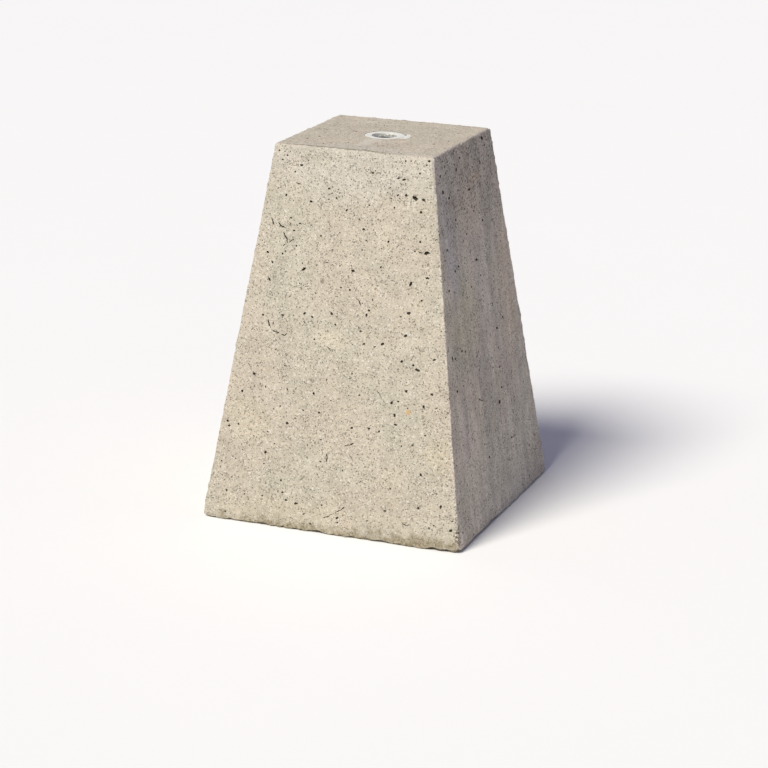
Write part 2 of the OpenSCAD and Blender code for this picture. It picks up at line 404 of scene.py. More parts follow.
def triangulate(q, edges):
    """Triangles that join the flat points q and keep the given edges."""
    out = delaunay_2d_cdt([Vector(v) for v in q.tolist()], edges, [], 1, 1e-5)
    ids = np.array([o[0] if o else -1 for o in out[3]])
    tris = ids[np.array([f for f in out[2] if len(f) == 3])]
    tris = tris[(tris >= 0).all(1)]
    a, b, c = q[tris[:, 0]], q[tris[:, 1]], q[tris[:, 2]]
    area = (b[:, 0] - a[:, 0]) * (c[:, 1] - a[:, 1]) - (b[:, 1] - a[:, 1]) * (c[:, 0] - a[:, 0])
    tris[area < 0] = tris[area < 0][:, ::-1]
    return tris[np.abs(area) > 1e-7]


def split_edges(skin):
    """Points along the block's twelve edges. Returns their numbers by edge."""
    runs = {}
    for loop in [SIDES[s]["loop"] for s in ORDER]:
        for a, b in zip(loop, loop[1:] + loop[:1]):
            key = (min(a, b), max(a, b))
            if key in runs:
                continue
            start, way = CORNERS[key[0]], CORNERS[key[1]] - CORNERS[key[0]]
            n = int(np.linalg.norm(way) / (SEEN_STEP if key in SEEN_EDGES else HIDDEN_STEP))
            t = (np.arange(1, n) + RNG.uniform(-0.2, 0.2, n - 1)) / n
            runs[key] = skin.add(start + t[:, None] * way)
    return runs


def fill_points(name, rim, outline, spots):
    """Rows of points along a side's edges and a grid between them, clear of
    the circles that the voids fill."""
    fine = name in ("front", "right", "top")
    mid, way = (rim + np.roll(rim, -1, 0)) / 2, np.roll(rim, -1, 0) - rim
    way = way / np.linalg.norm(way, axis=1)[:, None]
    free = []
    for dist in (0.7, 1.7, 3.1) if fine else (1.1, 2.8):
        row = mid + np.c_[-way[:, 1], way[:, 0]] * dist
        free.append(row[edge_gap(row, outline) > dist * 0.93])
    if name in UPRIGHT:         # the rough foot needs a finer grid
        band = grid(outline, 2.0 if fine else 3.2, RNG)
        band = band[band[:, 1] < 15]
        free.append(band[edge_gap(band, outline) > dist + 1.0])
    q = grid(outline, STEP[name], RNG)
    keep = edge_gap(q, outline) > dist + STEP[name] * 0.45
    if name in UPRIGHT:
        keep &= q[:, 1] > 16
    if name == "top":           # and so does the place round the insert
        keep &= np.hypot(q[:, 0], q[:, 1]) > 36
        near = grid(np.array([(-37, -37), (37, -37), (37, 37), (-37, 37)], float), 1.5, RNG)
        r = np.hypot(near[:, 0], near[:, 1])
        free.append(near[(r > SEAT_R + 0.7) & (r < 35)])
    free = np.concatenate(free + [q[keep]])
    for x, y, r in spots:
        free = free[(free[:, 0] - x) ** 2 + (free[:, 1] - y) ** 2 > (r + 0.3) ** 2]
    return free


def build_side(name, skin, runs):
    """The triangles of a side, and where their corners are on the flat side."""
    o, u, v, loop = (SIDES[name][k] for k in ("o", "u", "v", "loop"))
    flat = lambda p: np.c_[(p - o) @ u, (p - o) @ v]
    ids = []
    for a, b in zip(loop, loop[1:] + loop[:1]):
        run = runs[(min(a, b), max(a, b))]
        ids += [a] + list(run if a < b else run[::-1])
    rim, outline = flat(np.concatenate(skin.p)[ids]), flat(CORNERS[list(loop)])
    parts, which = [rim], [np.array(ids)]
    fixed = [(i, (i + 1) % len(rim)) for i in range(len(rim))]
    count = len(rim)

    def put(q, deep=0.0, dirt=0.0):
        nonlocal count
        parts.append(q)
        which.append(skin.add(o + q[:, :1] * u + q[:, 1:] * v, deep, dirt))
        count += len(q)
        return np.arange(count - len(q), count)

    if name == "top":           # the hole for the insert
        th = np.arange(AROUND) / AROUND * 2 * np.pi
        r = SEAT_R + 0.12 * np.abs(np.sin(th * 7 + 1)) * (np.sin(th * 3) > 0)
        # The hole's edge is painted half dark: painted shade in the crease round the collar.
        hole = put(np.c_[r * np.cos(th), r * np.sin(th)], 0.0, 0.5)
        fixed += list(zip(hole, np.roll(hole, -1)))
        skin.hole = which[-1]
    shapes, spots = place_voids(name, outline, RNG)
    for q, deep, dirt, loops, lines in shapes:
        at = put(q, deep, dirt)
        for ring in loops:
            fixed += list(zip(at[ring], at[np.roll(ring, -1)]))
        fixed += [(at[i], at[j]) for i, j in lines]
    put(fill_points(name, rim, outline, spots))
    q = np.concatenate(parts)
    tris = triangulate(q, fixed)
    if name == "top":
        mid = q[tris].mean(1)
        tris = tris[np.hypot(mid[:, 0], mid[:, 1]) > SEAT_R * 0.995]
    return np.concatenate(which)[tris], q[tris]


def build_seat(skin):
    """The seat of the insert: from the hole down to the collar's ledge, in,
    and down the sleeve. Its map is rings inside the hole of the top's map."""
    th = np.arange(AROUND) / AROUND * 2 * np.pi
    circle, after = np.c_[np.cos(th), np.sin(th)], np.roll(np.arange(AROUND), -1)
    bore, ledge, low = SLEEVE_R + 0.06, COLLAR_LOW - 0.05, SLEEVE_LOW - 0.05
    before, u0 = skin.hole, circle * SEAT_R
    tris, maps = [], []
    # The seat is painted dark, darkest at the bottom: painted shade down the hole.
    for r, z, scale in ((SEAT_R, ledge, 0.93), (bore, ledge, 0.8), (bore, 380.0, 0.6), (bore, 355.0, 0.45),
                        (bore, low, 0.3), (SLEEVE_R * 0.5, low, 0.15)):
        now, u1 = skin.add(np.c_[circle * r, np.full(AROUND, z)], 0.0, 0.6), circle * SEAT_R * scale
        tris += [np.c_[before, before[after], now], np.c_[before[after], now[after], now]]
        maps += [np.stack((u0, u0[after], u1), 1), np.stack((u0[after], u1[after], u1), 1)]
        before, u0 = now, u1
    cap = skin.add(np.array([(0, 0, low)]), 0.0, 0.8)
    tris.append(np.c_[before, before[after], np.repeat(cap, AROUND)])
    maps.append(np.stack((u0, u0[after], u0 * 0), 1))
    return np.concatenate(tris), np.concatenate(maps)


def build_block():
    """The sharp block: its points, triangles, their flat places and sides."""
    skin = Skin()
    skin.add(CORNERS)           # first, so that their numbers are those in CORNERS
    runs = split_edges(skin)
    built = [(name, *build_side(name, skin, runs)) for name in ORDER]
    built.append(("top", *build_seat(skin)))
    owner = np.concatenate([np.full(len(tris), name) for name, tris, _ in built])
    return skin, np.concatenate([b[1] for b in built]), np.concatenate([b[2] for b in built]), owner


def shape_block(skin):
    """Wears, roughens and pits the sharp block. Returns points and their dirt and painted shade."""
    p = np.concatenate(skin.p)
    deep, dirt = np.concatenate(skin.deep), np.concatenate(skin.dirt)
    core = (np.hypot(p[:, 0], p[:, 1]) < SEAT_R + 0.01) & (p[:, 2] > SLEEVE_LOW - 1)
    q, n = p.copy(), np.tile((0.0, 0.0, 1.0), (len(p), 1))
    q[~core], n[~core] = rounded(p[~core], wear(p[~core]))
    gap = np.sort(OFFSETS - p @ NORMALS.T, axis=1)[:, 1]       # distance from the nearest arris
    foot = np.clip(1 - p[:, 2] / 14, 0, 1)
    top = np.clip((p[:, 2] - HIGH + 1.5) / 1.5, 0, 1)
    h = -0.18 + 0.16 * lumps(p, 46, 5) + (0.12 * lumps(p, 15, 6) + 0.10 * lumps(p, 7, 7)) * (1 - 0.5 * top)
    nibble = 0.42 + 0.6 * lumps(p, 2.3, 8) + 0.6 * lumps(p, 6, 9)
    nibble = nibble + 2.2 * np.clip(lumps(p, 4.0, 14) - 0.45, 0, 1)
    h -= nibble * np.exp(-(gap / 1.6) ** 2) * (1 + top * np.where(p[:, 0] > HEAD / 2 - 6, 0.9, -0.1))
    h -= foot * (0.3 + 1.0 * np.clip(lumps(p, 3.6, 10), -0.3, 1) + 0.9 * np.clip(lumps(p, 9, 15), 0, 1))
    h[core] = 0
    # A shallow bed for the collar's torn tab
    flat = p[:, :2]
    on_top = (p[:, 2] > HIGH - 0.01) & ~core
    bed = inside_loop(flat, TAB) | (loop_gap(flat, TAB) < 0.7)
    h[on_top & bed] = -0.42
    near_hole = on_top & ~bed & (np.hypot(flat[:, 0], flat[:, 1]) < SEAT_R + 2)
    h[near_hole] = np.minimum(h[near_hole], -0.1)
    q = q + n * (h - deep)[:, None]
    q[:, :2] = np.clip(q[:, :2], -REACH, REACH)
    # The lower edge is uneven
    under = np.clip(1 - p[:, 2] / 5, 0, 1) * np.exp(-(gap / 5) ** 2)
    wave, chips = np.clip(lumps(p, 15, 16), -0.3, 1), np.clip(lumps(p, 4.5, 17), -0.5, 1)
    q[:, 2] += under * (0.7 + 2.4 * wave + 1.3 * chips)
    q[:, 2] = np.clip(q[:, 2], 0.0, HIGH - 0.02)
    return q, dirt


# ---------------------------------------- meshes
def mesh_from(name, verts, tris, loops_uv=None):
    me = bpy.data.meshes.new(name)
    me.vertices.add(len(verts))
    me.vertices.foreach_set("co", np.asarray(verts, np.float32).ravel())
    me.loops.add(len(tris) * 3)
    me.loops.foreach_set("vertex_index", np.asarray(tris, np.int32).ravel())
    me.polygons.add(len(tris))
    me.polygons.foreach_set("loop_start", np.arange(0, len(tris) * 3, 3, dtype=np.int32))
    me.polygons.foreach_set("use_smooth", np.ones(len(tris), bool))
    me.update(calc_edges=True)
    if loops_uv is not None:
        me.uv_layers.new(name="OFBake").data.foreach_set("uv", np.asarray(loops_uv, np.float32).ravel())
    return me


def keep_creases(me, degrees):
    """Marks as sharp the edges whose two faces meet at more than this."""
    n = len(me.polygons)
    normal = np.empty(n * 3, np.float32)
    me.polygons.foreach_get("normal", normal)
    normal = normal.reshape(-1, 3)
    edge = np.empty(len(me.loops), np.int32)
    me.loops.foreach_get("edge_index", edge)
    face = np.repeat(np.arange(n), 3)
    order = np.argsort(edge, kind="stable")
    e, f = edge[order], face[order]
    pair = np.nonzero(e[1:] == e[:-1])[0]
    bent = (normal[f[pair]] * normal[f[pair + 1]]).sum(1) < math.cos(math.radians(degrees))
    sharp = np.zeros(len(me.edges), bool)
    sharp[e[pair[bent]]] = True
    at = me.attributes.get("sharp_edge") or me.attributes.new("sharp_edge", "BOOLEAN", "EDGE")
    at.data.foreach_set("value", sharp)


def add_piece(name, me, mat, node):
    me.materials.append(mat)
    ob = bpy.data.objects.new(name, me)
    bpy.context.collection.objects.link(ob)
    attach(ob, "root")
    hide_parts(node)


# The block's map: each side's scale, whether it lies upside down, its place in millimetres
ISLANDS = dict(front=(1.0, False, 152, 2), right=(1.0, True, 395, 418), top=(1.0, False, 92, 512),
               back=(0.56, False, 275, 420), left=(0.56, True, 408, 656), under=(0.36, False, 606, 62))
MAP_SIDE = 668.0


def block_map(maps, owner):
    uv = np.zeros_like(maps)
    for name, (scale, turned, x, y) in ISLANDS.items():
        q = maps[owner == name] * scale
        uv[owner == name] = (-q if turned else q) + (x, y)
    return uv / MAP_SIDE


# ---------------------------------------- node helpers
class Nodes:
    def __init__(self, name):
        self.mat = bpy.data.materials.new(name)
        self.mat.use_nodes = True
        self.tree = self.mat.node_tree
        self.tree.nodes.clear()
        self.out = self.tree.nodes.new("ShaderNodeOutputMaterial")
        self.bsdf = self.tree.nodes.new("ShaderNodeBsdfPrincipled")
        self.link(self.bsdf.outputs[0], self.out.inputs[0])
        self.place = self.tree.nodes.new("ShaderNodeTexCoord").outputs["Object"]

    def link(self, a, b):
        self.tree.links.new(a, b)

    def feed(self, socket, value):
        if hasattr(value, "links"):
            self.link(value, socket)
        elif isinstance(value, tuple) and len(value) == 3 and socket.type == "RGBA":
            socket.default_value = (*value, 1)
        else:
            socket.default_value = value

    def math(self, op, a, b=0.0):
        n = self.tree.nodes.new("ShaderNodeMath")
        n.operation = op
        self.feed(n.inputs[0], a)
        self.feed(n.inputs[1], b)
        return n.outputs[0]

    def mix(self, f, a, b, how="MIX"):
        n = self.tree.nodes.new("ShaderNodeMix")
        n.data_type, n.blend_type = "RGBA", how
        self.feed(n.inputs[0], f)
        self.feed(n.inputs[6], a)
        self.feed(n.inputs[7], b)
        return n.outputs[2]

    def moved(self, scale, shift=(0, 0, 0)):
        n = self.tree.nodes.new("ShaderNodeMapping")
        self.link(self.place, n.inputs[0])
        n.inputs["Location"].default_value = shift
        n.inputs["Scale"].default_value = scale
        return n.outputs[0]

    def noise(self, scale, detail, rough, at=None):
        n = self.tree.nodes.new("ShaderNodeTexNoise")
        self.link(at or self.place, n.inputs["Vector"])
        for k, v in (("Scale", scale), ("Detail", detail), ("Roughness", rough)):
            n.inputs[k].default_value = v
        return n.outputs["Fac"]

    def times(self, *values):
        """The product of the values."""
        out = values[0]
        for v in values[1:]:
            out = self.math("MULTIPLY", out, v)
        return out

    def cells(self, scale, at=None):
        n = self.tree.nodes.new("ShaderNodeTexVoronoi")
        self.link(at or self.place, n.inputs["Vector"])
        n.inputs["Scale"].default_value = scale
        return n.outputs["Distance"], n.outputs["Color"]

    def span(self, value, low, high, to_low=0.0, to_high=1.0):
        n = self.tree.nodes.new("ShaderNodeMapRange")
        n.interpolation_type = "SMOOTHSTEP"
        for s, v in zip(n.inputs, (value, low, high, to_low, to_high)):
            self.feed(s, v)
        return n.outputs[0]

    def attribute(self, name):
        n = self.tree.nodes.new("ShaderNodeAttribute")
        n.attribute_name = name
        return n.outputs["Fac"]

    def xyz(self):
        n = self.tree.nodes.new("ShaderNodeSeparateXYZ")
        self.link(self.place, n.inputs[0])
        return n.outputs

    def vector(self, op, a, b=None, scale=None):
        n = self.tree.nodes.new("ShaderNodeVectorMath")
        n.operation = op
        self.feed(n.inputs[0], a)
        if b is not None:
            self.feed(n.inputs[1], b)
        if scale is not None:
            self.feed(n.inputs["Scale"], scale)
        return n.outputs["Value" if op == "LENGTH" else "Vector"]

    def ragged(self, scale, amount):
        """Places shifted at random by up to amount, to make outlines ragged."""
        n = self.tree.nodes.new("ShaderNodeTexNoise")
        self.link(self.place, n.inputs["Vector"])
        n.inputs["Scale"].default_value, n.inputs["Detail"].default_value = scale, 1.0
        shift = self.vector("SUBTRACT", n.outputs["Color"], (0.5, 0.5, 0.5))
        return self.vector("ADD", self.place, self.vector("SCALE", shift, scale=amount * 2))

    def blot(self, centre, radii, soft=(0.4, 1.2), rough=0.5, grain=60):
        """1 inside a ragged spot round a centre (in millimetres), 0 outside."""
        at = self.moved([1000 / r for r in radii], [-c / r for c, r in zip(centre, radii)])
        uneven = self.times(self.math("SUBTRACT", self.noise(grain, 3, 0.6), 0.5), rough * 2)
        return self.span(self.math("ADD", self.vector("LENGTH", at), uneven), soft[0], soft[1], 1.0, 0.0)

    def channel(self, colour, i):
        n = self.tree.nodes.new("ShaderNodeSeparateColor")
        self.link(colour, n.inputs[0])
        return n.outputs[i]

    def bump(self, height, strength, distance, normal=None):
        n = self.tree.nodes.new("ShaderNodeBump")
        n.inputs["Strength"].default_value = strength
        n.inputs["Distance"].default_value = distance
        self.link(height, n.inputs["Height"])
        if normal:
            self.link(normal, n.inputs["Normal"])
        return n.outputs[0]


# ---------------------------------------- materials
def front_spot(x, down):
    """A place on the front, from its middle and down from its top edge."""
    up = 1 - down / SLANT
    return x, -(FOOT / 2 - LEAN * up), HIGH * up


# Large blots of the front and top: middle, radii, colour, strength
BLOTS = (((0, -95, 395), (110, 40, 40), (0.548, 0.512, 0.432), 0.7),
         (front_spot(118, 312), (16, 20, 20), (0.556, 0.494, 0.355), 0.6),
         (front_spot(-100, 300), (26, 26, 26), (0.566, 0.504, 0.372), 0.6),
         (front_spot(-60, 394), (80, 20, 16), (0.545, 0.482, 0.362), 0.6),
         (front_spot(-8, 204), (20, 16, 12), (0.590, 0.530, 0.395), 0.5),
         (front_spot(-38, 12), (26, 20, 11), (0.44, 0.415, 0.32), 0.5),
         ((30, -27, 410), (9, 6, 5), (0.66, 0.51, 0.40), 0.45))
# Tints to multiply the right side with, olive, pinkish or bluish: as above
TINTS = (((140, -60, 235), (60, 55, 55), (0.985, 0.985, 0.96), 0.9),
         ((130, 85, 240), (60, 32, 120), (1.06, 0.975, 1.0), 0.9),
         ((95, 22, 368), (30, 26, 8), (1.09, 0.95, 0.93), 0.7),
         ((100, -20, 345), (30, 50, 40), (1.02, 0.955, 1.02), 0.7),
         ((110, -75, 310), (40, 22, 70), (0.92, 0.92, 1.12), 0.9),
         ((148, 20, 40), (40, 150, 80), (0.955, 0.985, 1.07), 0.9))
# A rusty grain and shallow brown hollows: middle, radius, colour, strength
STAINS = ((front_spot(81, 270), 3.2, (0.52, 0.33, 0.10), 0.7),
          (front_spot(-26, 142), 2.6, (0.22, 0.185, 0.135), 0.7),
          (front_spot(-68, 384), 3.0, (0.25, 0.20, 0.15), 0.6),
          (front_spot(-9, 331), 2.2, (0.22, 0.185, 0.135), 0.6))
# Cement smears on the top: middle, radii, strength
SMEARS = (((-2, -42, 410), (9, 24, 6), 0.6), ((-6, -30, 410), (24, 7, 6), 0.35),
          ((-42, 64, 410), (10, 6, 6), 0.5))
# Pinholes: cells per metre, the cells' values where they begin and are largest, their size
PINHOLES = ((540, 0.08, 1.0, 0.31), (250, 0.4, 1.0, 0.20))
TOP_Z = HIGH / 1000


def ground_colour(m, side):
    """Faint mottling and blots; the right side in upright streaks, with a bluish tint that is partly
    painted shade and a lighter foot that is painted light.
    """
    z = m.xyz()[2]
    col = m.mix(m.span(m.noise(13, 3, 0.55), 0.36, 0.64), (0.514, 0.475, 0.373), (0.539, 0.480, 0.377))
    for spot, radii, tint, much in BLOTS:
        col = m.mix(m.times(m.blot(spot, radii), much), col, tint)
    # The right side's bluish tint: partly its real purple mottle, partly painted shade, the cool cast of
    # the shaded side.
    cool = m.span(m.noise(15, 2, 0.5, m.moved((1, 1, 0.5))), 0.38, 0.62)
    tint = m.mix(cool, (0.962, 0.955, 1.055), (0.992, 0.970, 1.025))
    for spot, radii, shade, much in TINTS:
        tint = m.mix(m.times(m.blot(spot, radii, (0.3, 1.3), 0.5, 25), much), tint, shade)
    broad = m.span(m.noise(42, 3, 0.6, m.moved((1, 1, 0.14))), 0.3, 0.7, 0.84, 1.13)
    thin = m.span(m.noise(160, 3, 0.6, m.moved((1, 1, 0.1))), 0.3, 0.7, 0.93, 1.06)
    # Darker towards the top of the right side, and lighter towards its foot, most in the lowest 35 mm:
    # painted light that lifts the floor's shadow.
    shade = m.times(m.span(z, 0.27, 0.41, 1.03, 0.80), m.span(z, 0.0, 0.035, 1.25, 1.0),
                    m.span(z, 0.02, 0.25, 1.13, 1.03))
    tint = m.vector("SCALE", tint, scale=m.times(broad, thin, shade))
    return m.mix(side, col, m.mix(1.0, col, tint, "MULTIPLY"))


def sand(m, col):
    """Grains of one and two millimetres, with light, dark and yellow ones.
    Returns the colour and the grains' height."""
    far, tone = m.cells(820)
    # The last factor darkens the concrete towards the foot: painted shade that offsets the floor's bounce
    # light.
    level = m.times(m.span(m.noise(46, 4, 0.6), 0.3, 0.7, 0.93, 1.07),
                    m.span(m.channel(tone, 0), 0.0, 1.0, 0.89, 1.09),
                    m.span(m.noise(1500, 2, 0.6), 0.3, 0.7, 0.90, 1.08),
                    m.span(m.channel(m.cells(470)[1], 0), 0.0, 1.0, 0.955, 1.04),
                    m.math("ADD", 0.94, m.times(m.xyz()[2], 0.22)))
    col = m.vector("SCALE", col, scale=level)
    kind = m.cells(680)[1]
    col = m.mix(m.span(m.channel(kind, 0), 0.93, 0.95, 0.0, 0.55), col, (0.74, 0.70, 0.61))
    drift = m.times(m.math("SUBTRACT", m.noise(65, 4, 0.65), 0.5), 0.42)
    dark = m.span(m.math("ADD", m.channel(kind, 1), drift), 0.90, 0.94, 0.0, 0.6)
    col = m.mix(dark, col, (0.15, 0.125, 0.085))
    return m.mix(m.span(m.channel(kind, 2), 0.98, 0.99, 0.0, 0.4), col, (0.47, 0.36, 0.22)), far


def pinholes(m, side):
    """Ragged balls of space cut by the surface; fewer on the smooth top."""
    z = m.xyz()[2]
    crowd = m.times(m.span(m.noise(30, 2, 0.5), 0.35, 0.65, 0.75, 1.15),
                    m.span(z, TOP_Z - 0.003, TOP_Z - 0.001, 1.0, 0.25),
                    m.math("ADD", 1.0, m.times(side, m.span(z, 0.22, 0.40, 0.3, 0.6))))
    at = m.ragged(750, 0.0009)
    holes = 0.0
    for scale, low, high, reach in PINHOLES:
        near, kind = m.cells(scale, at)
        size = m.times(crowd, m.span(m.channel(kind, 1), low, high, 0.0, reach))
        hole = m.span(m.math("SUBTRACT", near, size), -0.05, 0.02, 1.0, 0.0)
        holes = m.math("MAXIMUM", holes, m.times(hole, m.span(m.channel(kind, 2), 0.0, 1.0, 0.5, 1.0)))
    return holes


def foot_dirt(m, col, side):
    """A rough olive band of dirt round the foot, and dark pits at the foot of the front right arris: dirt
    and painted shade in them.
    """
    x, _, z = m.xyz()
    edge = m.math("ADD", m.times(z, 1000.0), m.span(m.noise(90, 3, 0.6), 0.2, 0.8, -9, 9))
    edge = m.math("SUBTRACT", edge, m.times(x, 25.0))
    band = m.span(edge, 1.0, 15.0, m.math("SUBTRACT", 1.0, m.times(side, 0.8)), 0.0)
    crumb = m.span(m.noise(330, 3, 0.65), 0.45, 0.62)
    col = m.mix(m.times(band, m.span(crumb, 0, 1, 0.52, 1.0)), col, (0.225, 0.185, 0.11))
    # The pits are painted near-black: dirt and painted shade in them.
    pits = m.times(m.blot((147, -147, 21), (6, 6, 17), (0.4, 1.2), 0.6, 150),
                   m.span(m.noise(420, 3, 0.65), 0.44, 0.54))
    return m.mix(m.times(pits, 0.9), col, (0.10, 0.075, 0.042))


def top_marks(m, col):
    """Cement smears by the insert, and a dark olive line along the top's front edge."""
    x, y, z = m.xyz()
    smear = m.noise(70, 3, 0.6, m.moved((2.6, 0.5, 1)))
    for spot, radii, much in SMEARS:
        veil = m.times(m.blot(spot, radii, (0.3, 1.3), 1.1, 110), m.span(smear, 0.36, 0.58))
        col = m.mix(m.times(veil, much), col, (0.66, 0.63, 0.55))
    bend = m.times(m.math("SUBTRACT", m.noise(40, 3, 0.6), 0.5), 0.008)
    far = m.math("ABSOLUTE", m.math("ADD", m.math("ADD", y, 0.0870), bend))
    line = m.times(m.span(far, 0.0003, 0.0027, 1.0, 0.0), m.span(x, -0.086, -0.060),
                   m.span(x, 0.020, 0.066, 1.0, 0.0), m.span(z, TOP_Z - 0.002, TOP_Z - 0.001),
                   m.span(m.noise(190, 4, 0.7), 0.34, 0.52))
    return m.mix(m.times(line, 0.8), col, (0.17, 0.145, 0.075))


def concrete_material():
    m = Nodes("cast_concrete")
    side = m.attribute("right_side")
    col, grains = sand(m, ground_colour(m, side))
    for spot, r, shade, much in STAINS:
        col = m.mix(m.times(m.blot(spot, (r, r, r), (0.5, 1.1), 0.4, 300), much), col, shade)
    holes = pinholes(m, side)
    # The pinholes are painted near-black: painted shade inside them. The bump gives their relief.
    col = m.mix(m.times(holes, 0.92), col, (0.070, 0.060, 0.040))
    # Dirt and painted shade in the voids, the cracks and the insert's hole, with a ragged outline
    ragged = m.times(m.math("SUBTRACT", m.noise(900, 2, 0.6), 0.5), 0.9)
    soil_and_shade = m.math("ADD", m.attribute("dirt"), ragged)
    col = m.mix(m.span(soil_and_shade, 0.38, 0.53, 0.0, 0.95), col, (0.040, 0.033, 0.021))
    m.link(top_marks(m, foot_dirt(m, col, side)), m.bsdf.inputs["Base Color"])
    m.bsdf.inputs["Roughness"].default_value = 0.93
    m.bsdf.inputs["Specular IOR Level"].default_value = 0.25
    # Relief
    height = m.math("ADD", m.times(m.noise(900, 3, 0.65), 0.5), m.times(grains, 0.35))
    height = m.math("SUBTRACT", height, m.times(holes, 1.4))
    normal = m.bump(m.noise(260, 3, 0.6), 0.4, 0.0012)
    m.link(m.bump(height, 0.6, 0.0007, normal), m.bsdf.inputs["Normal"])
    return m.mat


def plastic_material():
    m = Nodes("collar_plastic")
    worn = m.span(m.noise(160, 4, 0.6), 0.42, 0.68)
    speck = m.span(m.noise(900, 2, 0.5), 0.5, 0.72)
    col = m.mix(worn, (0.86, 0.87, 0.79), (0.74, 0.73, 0.64))
    col = m.mix(m.times(speck, 0.35), col, (0.42, 0.38, 0.29))
    m.link(col, m.bsdf.inputs["Base Color"])
    m.link(m.span(worn, 0, 1, 0.45, 0.75), m.bsdf.inputs["Roughness"])
    m.link(m.bump(m.noise(500, 3, 0.6), 0.3, 0.0004), m.bsdf.inputs["Normal"])
    return m.mat


def zinc_material():
    m = Nodes("zinc_plated_steel")
    rim = SLEEVE_TOP / 1000
    near_rim = m.span(m.xyz()[2], rim - 0.012, rim - 0.001)
    patch = m.span(m.noise(300, 4, 0.6), 0.4, 0.65)
    col = m.mix(patch, (0.68, 0.69, 0.64), (0.50, 0.51, 0.47))
    grime = m.span(m.noise(420, 3, 0.6), 0.39, 0.56)
    # Olive grime, denser below the rim: grime, and painted shade deeper in the bore.
    dirty = m.times(grime, m.math("SUBTRACT", 1.0, m.times(near_rim, 0.45)))
    col = m.mix(dirty, col, (0.13, 0.105, 0.055))
    m.link(col, m.bsdf.inputs["Base Color"])
    m.link(m.span(grime, 0, 1, 0.3, 0.1), m.bsdf.inputs["Metallic"])
    m.link(m.span(patch, 0, 1, 0.32, 0.55), m.bsdf.inputs["Roughness"])
    m.link(m.bump(m.noise(1600, 2, 0.5), 0.15, 0.0002), m.bsdf.inputs["Normal"])
    return m.mat


# ---------------------------------------- the pieces
def make_block():
    skin, tris, maps, owner = build_block()
    p, dirt = shape_block(skin)
    me = mesh_from("concrete_block_detail", p / 1000, tris, block_map(maps, owner).reshape(-1, 2))
    # The right side, which the material tints bluish (partly painted shade) and lightens at the foot
    # (painted light).
    out = SIDES["right"]["n"]
    sunk = np.maximum(out @ SIDES["right"]["o"] - p @ out - 1.2, 0)
    for key, value in (("dirt", dirt), ("right_side", np.exp(-(sunk / 1.5) ** 2))):
        me.attributes.new(key, "FLOAT", "POINT").data.foreach_set("value", value.astype(np.float32))
    keep_creases(me, 34)
    add_piece("concrete_block_detail", me, concrete_material(), "concrete_block")


def make_collar():
    """The collar, a flat ring with its torn tab, whose outline starts and
    ends on the ring's."""
    hole_r, hole_n = 13.98, 132
    th = np.arange(hole_n) / hole_n * 2 * np.pi
    low, high = math.atan2(-9.8, 19.7), math.atan2(7.4, 20.7)
    arc = np.linspace(high, low + 2 * np.pi, 118)
    outer = [(COLLAR_R * math.cos(a), COLLAR_R * math.sin(a)) for a in arc]
    torn = [*TAB[8:1:-1], (21.3, 11.8), TAB[1]]
    for a, b in zip(torn, torn[1:]):
        a, b = np.array(a), np.array(b)
        n = max(2, int(np.linalg.norm(b - a) / 0.9))
        for i in range(n):
            ragged = RNG.uniform(-0.16, 0.16, 2) if i else np.zeros(2)
            outer.append(tuple(a + (b - a) * i / n + ragged))
    outer = np.array(outer + [tuple(torn[-1])])
    m = len(outer)
    pts = [outer, np.c_[hole_r * np.cos(th), hole_r * np.sin(th)]]
    fixed = [(i, (i + 1) % m) for i in range(m)] + [(m + i, m + (i + 1) % hole_n) for i in range(hole_n)]
    for r in (14.35, 14.9, 16.2, 17.9, 19.6, 21.0, 21.6):
        n = int(r * 5.4)
        a = (np.arange(n) + (r % 1)) / n * 2 * np.pi
        pts.append(np.c_[r * np.cos(a), r * np.sin(a)])
    tab = grid(np.array([(20, -11), (30, -11), (30, 17), (20, 17)], float), 0.95, RNG)
    past_ring = np.hypot(tab[:, 0], tab[:, 1]) > COLLAR_R - 0.1
    pts.append(tab[inside_loop(tab, outer) & (loop_gap(tab, outer) > 0.45) & past_ring])
    q = np.concatenate(pts)
    t = triangulate(q, fixed)
    mid = q[t].mean(1)
    t = t[(np.hypot(mid[:, 0], mid[:, 1]) > hole_r) & inside_loop(mid, outer)]
    # The upper side is worn round at its edges; the tab is thinner than the ring
    r = np.hypot(q[:, 0], q[:, 1])
    edge = np.minimum(loop_gap(q, outer), np.abs(r - hole_r))
    p3 = np.c_[q, np.zeros(len(q))]
    top = HIGH - 0.06 - 0.28 * np.exp(-(edge / 0.35) ** 2)
    top = top - 0.05 * (1 + lumps(p3, 5, 21)) - 0.03 * (1 + lumps(p3, 1.7, 22))
    thick = np.where(r > COLLAR_R + 0.05, 0.7, HIGH - COLLAR_LOW)
    bottom = np.minimum(HIGH - thick, top - 0.25)
    n = len(q)
    tris = [t, t[:, ::-1] + n]
    for loop, flip in ((np.arange(m), False), (m + np.arange(hole_n), True)):
        after = np.roll(loop, -1)
        wall = np.concatenate([np.c_[loop, loop + n, after], np.c_[after, loop + n, after + n]])
        tris.append(wall[:, ::-1] if flip else wall)
    verts = np.concatenate([np.c_[q, top], np.c_[q, bottom]])
    me = mesh_from("insert_collar_detail", verts / 1000, np.concatenate(tris))
    keep_creases(me, 40)
    add_piece("insert_collar_detail", me, plastic_material(), "insert_collar")


